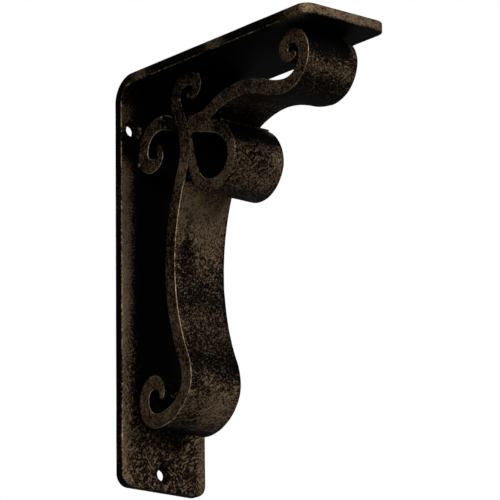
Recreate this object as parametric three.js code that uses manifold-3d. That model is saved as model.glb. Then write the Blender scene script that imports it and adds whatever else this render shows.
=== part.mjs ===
// Scroll bracket of wrought iron: a flat bar bent to a right angle makes the wall plate and the
// shelf plate, and scrolls bent from a second, narrower flat bar brace the angle between them.
//
// Millimetres, +Z up. The origin is the middle of the wall plate's back face, where the bracket
// meets the wall. It reaches out towards -Y and is the same on both sides of x = 0.
// Side views are drawn as (out, up): how far out from the wall, and how far up from the foot.

import * as THREE from 'three';
import { mergeVertices } from 'three/addons/utils/BufferGeometryUtils.js';
import Module from 'manifold-3d';

const wasm = await Module();
wasm.setup();

// Plates
const HEIGHT = 203.2;
const REACH = 144;
const PLATE_WIDTH = 50.8;
const PLATE_THICKNESS = 5.2;
const BEND_INNER_RADIUS = 7.8;
const PLATE_CORNER_RADIUS = 6.3;
const PLATE_EDGE_ROUND = 0.8;

// Screw holes in the wall plate
const SCREW_HOLE_DIAMETER = 5.8;
const COUNTERSINK_DIAMETER = 9.8;
const COUNTERSINK_DEPTH = 1.8;
const FOOT_HOLE_RISE = 8.5;
const HEAD_HOLE_DROP = 25.7;
const HEAD_HOLE_EDGE_DISTANCE = 7.4;

// Bar of the scrolls
const BAR_WIDTH = 30.5;
const BAR_THICKNESS = 7.2;
const BAR_EDGE_ROUND = 0.5;
const FOOT_MARGIN = 25.6;
const FRONT_MARGIN = 10.1;

// Gap between two pieces that are welded together, and the weld beads beside it
const SEAT = 0.3;
const BEAD_RADIUS = 2.4;
const BEAD_LENGTH = 24;
const BEAD_OFFSET = 4.4;

const IRON = { color: 0x2c241d, roughness: 0.5, metalness: 0.75 };

const UNDERSIDE = HEIGHT - PLATE_THICKNESS;
const HALF_BAR = BAR_THICKNESS / 2;
const CURVE_STEP = THREE.MathUtils.degToRad(11);
const LONGEST_STEP = 6;
const CLOSEST_POINTS = 0.4;

// The tightest bend, at the tip of each curl
const TIP_BEND = 0.6 * BAR_THICKNESS;

// The corner between the plates as the middle of a bar meets it, touching both of them
const SEAT_CORNER = new THREE.Vector2(
  PLATE_THICKNESS + SEAT + HALF_BAR,
  UNDERSIDE - SEAT - HALF_BAR,
);

// The middle line of a bar seen from the side. It starts at a point with a heading in degrees,
// where 0 is out and 90 is up, and runs through bends of [radius, turn], turning left when the
// turn is positive. Places are measured from the seat corner.
function bendLine(out, up, heading, bends) {
  const points = [new THREE.Vector2(out, up)];
  let direction = THREE.MathUtils.degToRad(heading);
  for (const [radius, turn] of bends) {
    const angle = THREE.MathUtils.degToRad(turn);
    const lever = Math.sign(angle) * radius;
    const from = points.at(-1);
    const centre = new THREE.Vector2(-Math.sin(direction), Math.cos(direction))
      .multiplyScalar(lever).add(from);
    const steps = Math.ceil(Math.abs(angle) / Math.min(CURVE_STEP, LONGEST_STEP / radius));
    for (let i = 1; i <= steps; i += 1) {
      const along = direction + angle * i / steps;
      points.push(new THREE.Vector2(Math.sin(along), -Math.cos(along))
        .multiplyScalar(lever).add(centre));
    }
    direction += angle;
  }
  return points;
}

// From the tip of the foot curl, round it, up the hollow leg and the stem to the head curl
const legAsDrawn = bendLine(13.7, -151, 98, [
  [6.3, 142],
  [10.8, 120],
  [22.5, 56],
  [12.8, 37],
  [29, 20],
  [117, -45.5],
  [34, 43],
  [54, 6],
  [35, -8],
  [9, -144],
  [TIP_BEND, -138],
]);

// From its tip, round the curl and forward to the stem
const rearAsDrawn = bendLine(12.7, -32, 279, [
  [TIP_BEND, -68],
  [7.1, -121],
  [13, -107],
  [40, -14],
]);

// Down the front of the stem, round the D and back under the front scroll
const ringAsDrawn = bendLine(35.7, -25.9, 268, [
  [64, 20.4],
  [13.4, 104],
  [13, 73],
  [16, 54.5],
  [80, 13],
]);

// From the stem forward over the ring, down, and up into the front curl
const frontAsDrawn = bendLine(33.7, -21.8, -14, [
  [24, 41.5],
  [44.3, -40],
  [68, -10],
  [35, 20],
  [13.8, 72.5],
  [11.2, 67],
  [6.3, 112],
  [TIP_BEND, 120],
]);

const farthestOut = Math.max(...frontAsDrawn.map((point) => point.x));
const lowest = Math.min(...legAsDrawn.map((point) => point.y));
const STRETCH = new THREE.Vector2(
  (REACH - FRONT_MARGIN - HALF_BAR - SEAT_CORNER.x) / farthestOut,
  (FOOT_MARGIN + HALF_BAR - SEAT_CORNER.y) / lowest,
);

// Stretches a drawn line to the plates, and slides it until it bears on the wall plate or the
// shelf plate
function fitToPlates(line, { onWall = false, onShelf = false }) {
  const points = line.map((point) => point.clone().multiply(STRETCH));
  const slide = new THREE.Vector2(
    onWall ? -Math.min(...points.map((point) => point.x)) : 0,
    onShelf ? -Math.max(...points.map((point) => point.y)) : 0,
  );
  return points.map((point) => point.add(slide).add(SEAT_CORNER));
}

const legLine = fitToPlates(legAsDrawn, { onWall: true, onShelf: true });
const rearLine = fitToPlates(rearAsDrawn, { onWall: true });
const ringLine = fitToPlates(ringAsDrawn, {});
const frontLine = fitToPlates(frontAsDrawn, { onShelf: true });

// The line at a distance to the left of a middle line, or to its right if that is negative
function sideOf(line, distance) {
  const side = line.map((point, i) => {
    const before = line[Math.max(i - 1, 0)];
    const after = line[Math.min(i + 1, line.length - 1)];
    const along = after.clone().sub(before).normalize();
    return new THREE.Vector2(-along.y, along.x).multiplyScalar(distance).add(point);
  });
  return side.filter((point, i) => i === 0 || point.distanceTo(side[i - 1]) > CLOSEST_POINTS);
}

// The half circle round an end of a line, from its left side to its right side
function roundEnd(end, before, radius) {
  const heading = end.clone().sub(before).angle();
  const steps = 6;
  return Array.from({ length: steps - 1 }, (_, i) => {
    const angle = heading + Math.PI / 2 - Math.PI * (i + 1) / steps;
    return new THREE.Vector2(Math.cos(angle), Math.sin(angle)).multiplyScalar(radius).add(end);
  });
}

function barOutline(line, radius) {
  const back = [...line].reverse();
  return [
    ...sideOf(line, radius),
    ...roundEnd(line.at(-1), line.at(-2), radius),
    ...sideOf(back, radius),
    ...roundEnd(line[0], line[1], radius),
  ];
}

// A side view's solid: the outline's (out, up) plane stands across the bracket's width
function acrossWidth(shape, width, edgeRound) {
  const geometry = new THREE.ExtrudeGeometry(shape, {
    depth: width - 2 * edgeRound,
    bevelEnabled: edgeRound > 0,
    bevelThickness: edgeRound,
    bevelSize: edgeRound,
    bevelOffset: -edgeRound,
    bevelSegments: 2,
    curveSegments: 6,
  });
  geometry.translate(0, 0, edgeRound - width / 2);
  geometry.applyMatrix4(new THREE.Matrix4().makeBasis(
    new THREE.Vector3(0, -1, 0),
    new THREE.Vector3(0, 0, 1),
    new THREE.Vector3(-1, 0, 0),
  ));
  return geometry;
}

function toSolid(geometry) {
  const bare = geometry.clone();
  bare.deleteAttribute('normal');
  bare.deleteAttribute('uv');
  const merged = mergeVertices(bare);
  return new wasm.Manifold(new wasm.Mesh({
    numProp: 3,
    vertProperties: new Float32Array(merged.attributes.position.array),
    triVerts: new Uint32Array(merged.index.array),
  }));
}

function toGeometry(solid) {
  const { vertProperties, triVerts } = solid.getMesh();
  const geometry = new THREE.BufferGeometry();
  geometry.setAttribute('position', new THREE.BufferAttribute(vertProperties, 3));
  geometry.setIndex(new THREE.BufferAttribute(triVerts, 1));
  geometry.computeVertexNormals();
  return geometry;
}

// A bar of the scrolls, and the room that it needs among its neighbours
function barSolid(line) {
  const shape = new THREE.Shape(barOutline(line, HALF_BAR));
  return toSolid(acrossWidth(shape, BAR_WIDTH, BAR_EDGE_ROUND));
}

function barRoom(line) {
  const shape = new THREE.Shape(barOutline(line, HALF_BAR + SEAT));
  return toSolid(acrossWidth(shape, 2 * BAR_WIDTH, 0));
}

// The bar of the ring closes on itself, so its outer side is the outline and its inner side a hole
function closedRingSolid(line) {
  const shape = new THREE.Shape(sideOf(line, -HALF_BAR));
  shape.holes.push(new THREE.Path(sideOf(line, HALF_BAR)));
  return toSolid(acrossWidth(shape, BAR_WIDTH, BAR_EDGE_ROUND));
}

// Rectangle from the edge y = 0 to the edge y = length, with the two corners at the far edge round
function tongueShape(width, length, cornerRadius) {
  const half = width / 2;
  const shape = new THREE.Shape();
  shape.moveTo(-half, 0);
  shape.lineTo(half, 0);
  shape.lineTo(half, length - cornerRadius);
  shape.absarc(half - cornerRadius, length - cornerRadius, cornerRadius, 0, Math.PI / 2, false);
  shape.lineTo(cornerRadius - half, length);
  shape.absarc(cornerRadius - half, length - cornerRadius, cornerRadius,
    Math.PI / 2, Math.PI, false);
  shape.closePath();
  return shape;
}

// The bent plate's side view, with its bend round inside and outside
function plateShape() {
  const outer = BEND_INNER_RADIUS + PLATE_THICKNESS;
  const shape = new THREE.Shape();
  shape.moveTo(0, 0);
  shape.lineTo(PLATE_THICKNESS, 0);
  shape.lineTo(PLATE_THICKNESS, HEIGHT - outer);
  shape.absarc(outer, HEIGHT - outer, BEND_INNER_RADIUS, Math.PI, Math.PI / 2, true);
  shape.lineTo(REACH, UNDERSIDE);
  shape.lineTo(REACH, HEIGHT);
  shape.lineTo(outer, HEIGHT);
  shape.absarc(outer, HEIGHT - outer, outer, Math.PI / 2, Math.PI, false);
  shape.closePath();
  return shape;
}

function screwHole(across, up) {
  const throat = SCREW_HOLE_DIAMETER / 2;
  const mouth = COUNTERSINK_DIAMETER / 2;
  const front = -PLATE_THICKNESS;
  const slope = (mouth - throat) / COUNTERSINK_DEPTH;
  const profile = [
    new THREE.Vector2(0, front - 1),
    new THREE.Vector2(mouth + slope, front - 1),
    new THREE.Vector2(throat, front + COUNTERSINK_DEPTH),
    new THREE.Vector2(throat, 1),
    new THREE.Vector2(0, 1),
  ];
  const geometry = new THREE.LatheGeometry(profile, 28);
  geometry.translate(across, 0, up);
  return toSolid(geometry);
}

// A tongue's solid, with its near edge at a corner of the bracket and its length along an axis
function tongueSolid(length, depth, lengthAxis, depthAxis, corner) {
  const geometry = new THREE.ExtrudeGeometry(
    tongueShape(PLATE_WIDTH, length, PLATE_CORNER_RADIUS),
    { depth, bevelEnabled: false },
  );
  const across = new THREE.Vector3(1, 0, 0);
  geometry.applyMatrix4(new THREE.Matrix4().makeBasis(across, lengthAxis, depthAxis));
  geometry.translate(0, corner.y, corner.z);
  return toSolid(geometry);
}

function strapSolid() {
  const spare = 1;
  const down = new THREE.Vector3(0, 0, -1);
  const forward = new THREE.Vector3(0, -1, 0);
  const bent = toSolid(acrossWidth(plateShape(), PLATE_WIDTH, PLATE_EDGE_ROUND));
  const wall = tongueSolid(HEIGHT + spare, REACH + 2 * spare, down, forward.clone().negate(),
    new THREE.Vector3(0, -REACH - spare, HEIGHT + spare));
  const shelf = tongueSolid(REACH + spare, HEIGHT + 2 * spare, forward, down,
    new THREE.Vector3(0, spare, HEIGHT + spare));
  const headHoleAcross = PLATE_WIDTH / 2 - HEAD_HOLE_EDGE_DISTANCE;
  const holes = [
    screwHole(0, FOOT_HOLE_RISE),
    screwHole(-headHoleAcross, HEIGHT - HEAD_HOLE_DROP),
    screwHole(headHoleAcross, HEIGHT - HEAD_HOLE_DROP),
  ];
  return holes.reduce((solid, hole) => solid.subtract(hole), bent.intersect(wall).intersect(shelf));
}

// A bead of weld across the bar: a round in the side view, less the room of what it joins
function beadSolid(centre, startAngle, endAngle, rooms) {
  const shape = new THREE.Shape();
  shape.absarc(centre.x, centre.y, BEAD_RADIUS, startAngle, endAngle, false);
  const bead = toSolid(acrossWidth(shape, BEAD_LENGTH, 0));
  return rooms.reduce((solid, room) => solid.subtract(room), bead);
}

// Where a line comes nearest to the wall plate, and to the shelf plate
const nearestToWall = (line) => line.reduce((best, point) => (point.x < best.x ? point : best));
const nearestToShelf = (line) => line.reduce((best, point) => (point.y > best.y ? point : best));

function wallBead(line, room, along) {
  const centre = new THREE.Vector2(PLATE_THICKNESS + SEAT, nearestToWall(line).y + along);
  return beadSolid(centre, -Math.PI / 2, Math.PI / 2, [room]);
}

function shelfBead(line, room, along) {
  const centre = new THREE.Vector2(nearestToShelf(line).x + along, UNDERSIDE - SEAT);
  return beadSolid(centre, Math.PI, 2 * Math.PI, [room]);
}

const legRoom = barRoom(legLine);
const rearRoom = barRoom(rearLine);
const frontRoom = barRoom(frontLine);

const solids = {
  strap: strapSolid(),
  leg_scroll: barSolid(legLine),
  rear_scroll: barSolid(rearLine).subtract(legRoom),
  ring_scroll: closedRingSolid(ringLine).subtract(legRoom).subtract(frontRoom),
  front_scroll: barSolid(frontLine).subtract(legRoom),
  weld_foot_lower: wallBead(legLine, legRoom, -BEAD_OFFSET),
  weld_foot_upper: wallBead(legLine, legRoom, BEAD_OFFSET),
  weld_rear_lower: wallBead(rearLine, rearRoom, -BEAD_OFFSET),
  weld_rear_upper: wallBead(rearLine, rearRoom, BEAD_OFFSET),
  weld_head_back: shelfBead(legLine, legRoom, -BEAD_OFFSET),
  weld_head_front: shelfBead(legLine, legRoom, BEAD_OFFSET),
  weld_front_back: shelfBead(frontLine, frontRoom, -BEAD_OFFSET),
  weld_front_front: shelfBead(frontLine, frontRoom, BEAD_OFFSET),
};

const bracket = new THREE.Group();
bracket.position.z = -HEIGHT / 2;

for (const [name, solid] of Object.entries(solids)) {
  const mesh = new THREE.Mesh(toGeometry(solid), new THREE.MeshStandardMaterial(IRON));
  mesh.name = name;
  bracket.add(mesh);
}

export default bracket;
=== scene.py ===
"""Scroll bracket of wrought iron, dressed for its photograph.

A flat bar bent to a right angle makes the wall plate and the shelf plate, and scrolls bent from a
narrower bar brace the angle between them. Everything is in metres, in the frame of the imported
part: the wall plate's back face is y = 0, the bracket reaches out towards -Y, and +Z is up. Side
views are drawn as (out, up), in millimetres from the corner that the bars bear on.
"""

import logging
import math
from dataclasses import dataclass, field
from enum import Enum
from typing import Callable, Iterable

import bpy
import numpy as np
from mathutils import Matrix, Vector


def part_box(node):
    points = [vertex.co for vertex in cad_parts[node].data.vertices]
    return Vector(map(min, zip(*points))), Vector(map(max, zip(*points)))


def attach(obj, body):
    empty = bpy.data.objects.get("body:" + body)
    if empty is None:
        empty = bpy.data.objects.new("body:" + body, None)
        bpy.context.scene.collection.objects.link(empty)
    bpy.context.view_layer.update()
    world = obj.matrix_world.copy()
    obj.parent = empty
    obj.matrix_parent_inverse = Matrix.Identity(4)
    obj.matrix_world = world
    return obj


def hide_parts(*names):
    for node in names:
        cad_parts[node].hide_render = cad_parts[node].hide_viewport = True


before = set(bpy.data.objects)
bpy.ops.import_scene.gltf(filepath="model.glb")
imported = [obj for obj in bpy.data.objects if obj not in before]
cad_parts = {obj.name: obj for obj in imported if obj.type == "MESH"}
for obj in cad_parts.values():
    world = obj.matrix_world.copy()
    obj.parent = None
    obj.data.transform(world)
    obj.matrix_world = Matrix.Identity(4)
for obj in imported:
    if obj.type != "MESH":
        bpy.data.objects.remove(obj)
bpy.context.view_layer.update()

log = logging.getLogger("scroll_bracket")

MM = 0.001
SEAT = 0.3 * MM
TINY = 0.001 * MM
VIEW_MIDDLE = Vector((0.0, -71.12 * MM, 0.0))

Point = tuple[float, float]
Bend = tuple[float, float]
Triple = tuple[float, float, float]
Patch = Triple
Marks = dict[str, np.ndarray | float]
MarkRule = Callable[[np.ndarray, np.ndarray], Marks]


class Slot(Enum):
    """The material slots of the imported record."""

    IRON = "iron"
    WELD = "weld"


class Bearing(Enum):
    """What a scroll is slid against until it bears on it."""

    WALL = "wall"
    SHELF = "shelf"


# Small helpers


def deselect_all() -> None:
    """Leaves edit mode and clears the selection."""
    if bpy.context.object and bpy.context.object.mode != "OBJECT":
        bpy.ops.object.mode_set(mode="OBJECT")
    bpy.ops.object.select_all(action="DESELECT")


def activate(piece: bpy.types.Object) -> None:
    """Makes one object the only selected and active one."""
    deselect_all()
    piece.select_set(True)
    bpy.context.view_layer.objects.active = piece


def apply_place(piece: bpy.types.Object) -> None:
    """Puts an object's place, turn and scale into its mesh."""
    activate(piece)
    bpy.ops.object.transform_apply(location=True, rotation=True, scale=True)


def name_active(name: str) -> bpy.types.Object:
    """Names the object that was just made, and its mesh."""
    piece = bpy.context.object
    piece.name = piece.data.name = name
    return piece


def edit_all() -> None:
    """Goes into edit mode with the whole of the active mesh selected."""
    bpy.ops.object.mode_set(mode="EDIT")
    bpy.ops.mesh.select_all(action="SELECT")


def cut_out(piece: bpy.types.Object, cutter: bpy.types.Object) -> None:
    """Takes a closed cutter out of a piece, and removes the cutter."""
    activate(piece)
    cut = piece.modifiers.new("cut", "BOOLEAN")
    cut.operation = "DIFFERENCE"
    cut.solver = "EXACT"
    cut.object = cutter
    bpy.ops.object.modifier_apply(modifier=cut.name)
    bpy.data.objects.remove(cutter)


def pick(
    piece: bpy.types.Object, wanted: Callable[[Vector], bool], edges: bool = False
) -> None:
    """Selects the vertices, or the edges by their middles, that a test wants. Ends in edit mode.

    Args:
        piece: The mesh object, active.
        wanted: Test on a point in metres.
        edges: Select edges instead of vertices.
    """
    bpy.ops.object.mode_set(mode="EDIT")
    bpy.ops.mesh.select_mode(type="EDGE" if edges else "VERT")
    bpy.ops.mesh.select_all(action="DESELECT")
    bpy.ops.object.mode_set(mode="OBJECT")
    mesh = piece.data
    if edges:
        for edge in mesh.edges:
            first, last = (mesh.vertices[i].co for i in edge.vertices)
            edge.select = wanted((first + last) / 2)
    else:
        for vertex in mesh.vertices:
            vertex.select = wanted(vertex.co)
    bpy.ops.object.mode_set(mode="EDIT")


def smooth_step(low: float, high: float, values: np.ndarray) -> np.ndarray:
    """Rises smoothly from 0 to 1 between two values."""
    t = np.clip((values - low) / (high - low), 0.0, 1.0)
    return t * t * (3 - 2 * t)


def hump(at: float, spread: float, values: np.ndarray) -> np.ndarray:
    """Is 1 at a value and falls off smoothly on both sides of it."""
    return np.exp(-(((values - at) / spread) ** 2))


def patched(base: float, patches: Iterable[Patch], values: np.ndarray) -> np.ndarray:
    """A base with smooth humps on it, each given as its middle, its spread and its height."""
    return base + sum(height * hump(at, spread, values) for at, spread, height in patches)


def on_sides(
    side: np.ndarray | float, face: np.ndarray | float, normals: np.ndarray
) -> np.ndarray:
    """One value on a bar's two sides and another on its faces, blended where it turns."""
    facing_side = normals[:, 0] ** 2
    return side * facing_side + face * (1 - facing_side)


def edge_share(facing: np.ndarray) -> np.ndarray:
    """How far a surface is turned from the flats into a rounded edge.

    Args:
        facing: The share of its normal along the axis that the edge turns away from.

    Returns:
        1 on the edge, falling to 0 on the flats on both sides of it.
    """
    lean = np.degrees(np.arccos(np.clip(np.abs(facing), 0.0, 1.0)))
    return smooth_step(3.0, 24.0, np.minimum(lean, 90.0 - lean))


def bend_line(start: Point, heading: float, bends: Iterable[Bend]) -> list[Point]:
    """Points on a chain of bends in the side view.

    Args:
        start: Where it starts, as (out, up).
        heading: Where it starts towards, in degrees: 0 is out and 90 is up.
        bends: Each bend's radius and turn, which is to the left when it is positive.

    Returns:
        The points.
    """
    points = [start]
    direction = math.radians(heading)
    for radius, turn in bends:
        angle = math.radians(turn)
        lever = math.copysign(radius, angle)
        out, up = points[-1]
        centre = (out - math.sin(direction) * lever, up + math.cos(direction) * lever)
        steps = max(2, math.ceil(abs(turn) / 3))
        for i in range(1, steps + 1):
            along = direction + angle * i / steps
            out = centre[0] + math.sin(along) * lever
            points.append((out, centre[1] - math.cos(along) * lever))
        direction += angle
    return points


# Finishes


@dataclass(frozen=True)
class NodeSheet:
    """A node tree, with short ways to add and join nodes."""

    tree: bpy.types.NodeTree

    @classmethod
    def of(cls, owner: bpy.types.ID) -> "NodeSheet":
        """The emptied node tree of a new material or world."""
        owner.use_nodes = True
        owner.node_tree.nodes.clear()
        return cls(owner.node_tree)

    def put(self, socket: bpy.types.NodeSocket, value: object) -> None:
        """Joins a socket to an input, or sets the input to a number or colour."""
        if isinstance(value, bpy.types.NodeSocket):
            self.tree.links.new(value, socket)
        else:
            socket.default_value = value

    def node(self, kind: str, **settings: object) -> bpy.types.Node:
        """Adds a node and gives its settings.

        Args:
            kind: The node's type.
            **settings: Its properties and its inputs, with "_" for a space in an input's name.

        Returns:
            The node.
        """
        node = self.tree.nodes.new(kind)
        for key, value in settings.items():
            if hasattr(node, key):
                setattr(node, key, value)
            else:
                self.put(node.inputs[key.replace("_", " ")], value)
        return node

    def maths(self, operation: str, *values: object) -> bpy.types.NodeSocket:
        """The result of a maths node on sockets or numbers."""
        node = self.node("ShaderNodeMath", operation=operation)
        for socket, value in zip(node.inputs, values):
            self.put(socket, value)
        return node.outputs[0]

    def scaled_sum(
        self, *parts: tuple[bpy.types.NodeSocket, float], more: float = 0.0
    ) -> bpy.types.NodeSocket:
        """Adds sockets, each times its own weight, and a number."""
        total: object = more
        for socket, weight in parts:
            total = self.maths("MULTIPLY_ADD", socket, weight, total)
        return total

    def noise(
        self,
        vector: bpy.types.NodeSocket,
        scale: float,
        detail: float,
        roughness: float = 0.55,
    ) -> bpy.types.NodeSocket:
        """A noise pattern of so many blotches to the metre, as a socket."""
        settings = {"Scale": scale, "Detail": detail, "Roughness": roughness}
        return self.node("ShaderNodeTexNoise", Vector=vector, **settings).outputs["Fac"]

    def window(
        self, value: bpy.types.NodeSocket, low: float, high: float
    ) -> bpy.types.NodeSocket:
        """Maps a socket from low..high to 0..1, smoothly and clamped."""
        settings = {"Value": value, "From_Min": low, "From_Max": high}
        node = self.node("ShaderNodeMapRange", interpolation_type="SMOOTHSTEP", **settings)
        return node.outputs["Result"]

    def blend(
        self, share: bpy.types.NodeSocket, under: object, over: object
    ) -> bpy.types.NodeSocket:
        """Mixes two colours by a share, as a socket."""
        node = self.node("ShaderNodeMix", data_type="RGBA")
        self.put(node.inputs[0], share)
        for socket, value in ((node.inputs[6], under), (node.inputs[7], over)):
            self.put(socket, (*value, 1.0) if isinstance(value, tuple) else value)
        return node.outputs[2]


@dataclass(frozen=True)
class AgedBronzePaint:
    """Near-black paint, rubbed through to brown bronze in speckles and strokes and on its edges.

    It reads three marks of each mesh: "wear" on the edges, a mark of rubbing and painted shade,
    which is 0 where the paint is whole and 1 where hands and brush rubbed it through, and is kept
    low as painted shade in recesses, on faces turned to the wall and under the shelf, and "brushed"
    under strokes.
    Scales are in blotches to the metre, and bumps in metres.
    """

    name: str
    dark: Triple = (0.0014, 0.001, 0.0007)
    brown: Triple = (0.082, 0.0525, 0.0305)
    bronze: Triple = (0.213, 0.148, 0.088)
    edge: Triple = (0.365, 0.272, 0.17)
    crackle_scale: float = 1150.0
    fleck_scale: float = 620.0
    bite_scale: float = 640.0
    patch_scale: float = 105.0
    stroke_scale: float = 1000.0
    stroke_length: float = 5.5
    stroke_turns: tuple[Triple, ...] = ((0.35, 0.9, 0.0), (-0.3, -0.6, 0.0))
    spread: float = 0.42
    rubbed_from: tuple[float, float] = (0.56, 0.67)
    bright_from: tuple[float, float] = (0.63, 0.86)
    worn_from: tuple[float, float] = (0.6, 1.25)
    metal: float = 0.6
    specular: float = 0.06
    roughness: float = 0.58
    coarse_bump: float = 0.4 * MM
    fine_bump: float = 0.22 * MM
    relief: float = 1.0

    def material(self) -> bpy.types.Material:
        """Builds the material.

        Returns:
            The material, on Object coordinates and the mesh's own three marks.
        """
        made = bpy.data.materials.new(self.name)
        sheet = NodeSheet.of(made)
        place = sheet.node("ShaderNodeTexCoord").outputs["Object"]
        wear, rub, brushed = (
            sheet.node("ShaderNodeAttribute", attribute_name=mark).outputs["Fac"]
            for mark in ("wear", "rub", "brushed")
        )

        crackle = sheet.noise(place, self.crackle_scale, 3.0, 0.7)
        fleck = sheet.noise(place, self.fleck_scale, 2.0, 0.6)
        patch = sheet.noise(place, self.patch_scale, 3.0)
        bite = sheet.noise(place, self.bite_scale, 3.0, 0.6)
        strokes = sheet.maths("MULTIPLY", self._strokes(sheet, place), brushed)
        veins = sheet.maths("ABSOLUTE", sheet.scaled_sum((fleck, 1.0), more=-0.5))
        veins = sheet.window(veins, 0.0, 0.05)

        pits = sheet.scaled_sum((crackle, 0.95), (fleck, 0.1), (veins, -0.07))
        height = sheet.scaled_sum(
            (pits, 1.0),
            (patch, 0.2),
            (strokes, 0.22),
            (rub, self.spread),
            (brushed, -0.06),
            more=-0.5 * self.spread,
        )
        # The brown share follows the mark of rubbing, which also holds painted shade, so recesses
        # and the parts under the shelf stay dark here.
        rubbed = sheet.window(height, *self.rubbed_from)
        bright = sheet.window(height, *self.bright_from)
        worn = sheet.scaled_sum((wear, 1.0), (bite, 1.2), (patch, 1.2), more=-1.2)
        worn = sheet.window(worn, *self.worn_from)
        colour = sheet.blend(rubbed, self.dark, self.brown)
        colour = sheet.blend(bright, colour, self.bronze)
        colour = sheet.blend(worn, colour, self.edge)

        coarse = sheet.node(
            "ShaderNodeBump", Distance=self.coarse_bump * self.relief, Strength=0.5, Height=patch
        )
        fine = sheet.node(
            "ShaderNodeBump",
            Distance=self.fine_bump * self.relief,
            Strength=0.7,
            Height=sheet.scaled_sum((pits, 1.0), (strokes, 0.5)),
            Normal=coarse.outputs["Normal"],
        )
        shader = sheet.node(
            "ShaderNodeBsdfPrincipled",
            Base_Color=colour,
            Metallic=self.metal,
            Specular_IOR_Level=self.specular,
            Roughness=sheet.scaled_sum((rubbed, -0.1), (worn, -0.12), more=self.roughness),
            Normal=fine.outputs["Normal"],
        )
        sheet.node("ShaderNodeOutputMaterial", Surface=shader.outputs["BSDF"])
        return made

    def _strokes(self, sheet: NodeSheet, place: bpy.types.NodeSocket) -> bpy.types.NodeSocket:
        """Short brushed scratches in two directions, each where the other isn't.

        Args:
            sheet: The material's nodes.
            place: The Object coordinates.

        Returns:
            A socket that is 0 off the scratches and up to 1 on them.
        """
        swirl = sheet.node("ShaderNodeTexNoise", Scale=90.0, Detail=1.0, Vector=place)
        bent = sheet.node("ShaderNodeVectorMath", operation="MULTIPLY_ADD")
        for socket, value in zip(bent.inputs, (swirl.outputs["Color"], (0.005,) * 3, place)):
            sheet.put(socket, value)
        lines = []
        for turn in self.stroke_turns:
            lay = sheet.node(
                "ShaderNodeMapping",
                vector_type="TEXTURE",
                Rotation=turn,
                Scale=(1.0, 1.0, self.stroke_length),
                Vector=bent.outputs[0],
            )
            grain = sheet.noise(lay.outputs["Vector"], self.stroke_scale, 2.0, 0.6)
            lines.append(sheet.window(grain, 0.5, 0.64))
        share = sheet.window(sheet.noise(place, 140.0, 1.0), 0.46, 0.6)
        first = sheet.maths("MULTIPLY", lines[0], sheet.maths("SUBTRACT", 1.0, share))
        return sheet.maths("MULTIPLY_ADD", lines[1], share, first)


@dataclass(frozen=True)
class StudioSurface:
    """Plain pale paper for the floor."""

    name: str
    colour: Triple = (0.86, 0.86, 0.85)
    clouds: float = 0.97
    roughness: float = 0.9

    def material(self) -> bpy.types.Material:
        """Builds the material.

        Returns:
            The material, faintly clouded as studio paper is.
        """
        made = bpy.data.materials.new(self.name)
        sheet = NodeSheet.of(made)
        place = sheet.node("ShaderNodeTexCoord").outputs["Object"]
        dull = tuple(self.clouds * part for part in self.colour)
        tint = sheet.blend(sheet.noise(place, 3.0, 2.0), self.colour, dull)
        shader = sheet.node(
            "ShaderNodeBsdfPrincipled", Roughness=self.roughness, Base_Color=tint
        )
        sheet.node("ShaderNodeOutputMaterial", Surface=shader.outputs["BSDF"])
        return made


# Finishing a mesh


@dataclass(frozen=True)
class DentsAndMarks:
    """What the hammer and the rubbing leave on a piece: soft dents, and marks of wear, with painted
    shade written into the same marks.

    The level is the part of the dents' depth that lies below the piece's own surface.
    """

    dent: float = 0.22 * MM
    dent_size: float = 8.0 * MM
    grain: float = 0.07 * MM
    grain_size: float = 1.9 * MM
    level: float = 0.6
    sharpest: float = 50.0

    def mark(
        self,
        piece: bpy.types.Object,
        mark_rule: MarkRule,
    ) -> None:
        """Writes the marks that the paint reads to a mesh.

        Args:
            piece: A closed mesh object.
            mark_rule: Gives each mark from the vertices' places in millimetres and their normals,
                as a value for each vertex or one for them all.
        """
        mesh = piece.data
        places = np.zeros(len(mesh.vertices) * 3)
        mesh.vertices.foreach_get("co", places)
        normals = np.zeros(len(mesh.vertices) * 3)
        mesh.vertex_normals.foreach_get("vector", normals)
        marks = mark_rule(places.reshape(-1, 3) / MM, normals.reshape(-1, 3))
        for name, values in marks.items():
            attribute = mesh.attributes.new(name, "FLOAT", "POINT")
            everywhere = np.broadcast_to(values, len(mesh.vertices))
            attribute.data.foreach_set("value", everywhere.astype(np.float32))

    def dent_surface(self, piece: bpy.types.Object) -> None:
        """Works soft dents and a fine grain into a piece."""
        activate(piece)
        for label, depth, size in (
            ("dents", self.dent, self.dent_size),
            ("grain", self.grain, self.grain_size),
        ):
            if depth <= 0:
                continue
            pattern = bpy.data.textures.new(f"{piece.name}_{label}", "CLOUDS")
            pattern.noise_scale = size
            pattern.noise_depth = 1
            push = piece.modifiers.new(label, "DISPLACE")
            push.texture = pattern
            push.texture_coords = "LOCAL"
            push.strength = depth
            push.mid_level = self.level
            bpy.ops.object.modifier_apply(modifier=push.name)

    def close_up(self, piece: bpy.types.Object) -> None:
        """Merges doubles, turns every face outwards and shades it smooth."""
        activate(piece)
        edit_all()
        bpy.ops.mesh.remove_doubles(threshold=TINY)
        bpy.ops.mesh.normals_make_consistent(inside=False)
        bpy.ops.object.mode_set(mode="OBJECT")
        bpy.ops.object.shade_smooth_by_angle(angle=math.radians(self.sharpest))

    def dress(
        self, piece: bpy.types.Object, mark_rule: MarkRule, paint: bpy.types.Material
    ) -> None:
        """Closes a piece, marks it, dents it and paints it.

        Args:
            piece: The modelled piece.
            mark_rule: Gives its marks.
            paint: Its paint.
        """
        self.close_up(piece)
        self.mark(piece, mark_rule)
        self.dent_surface(piece)
        piece.data.materials.append(paint)
        log.info("%s: %d faces", piece.name, len(piece.data.polygons))


# The bars


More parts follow.
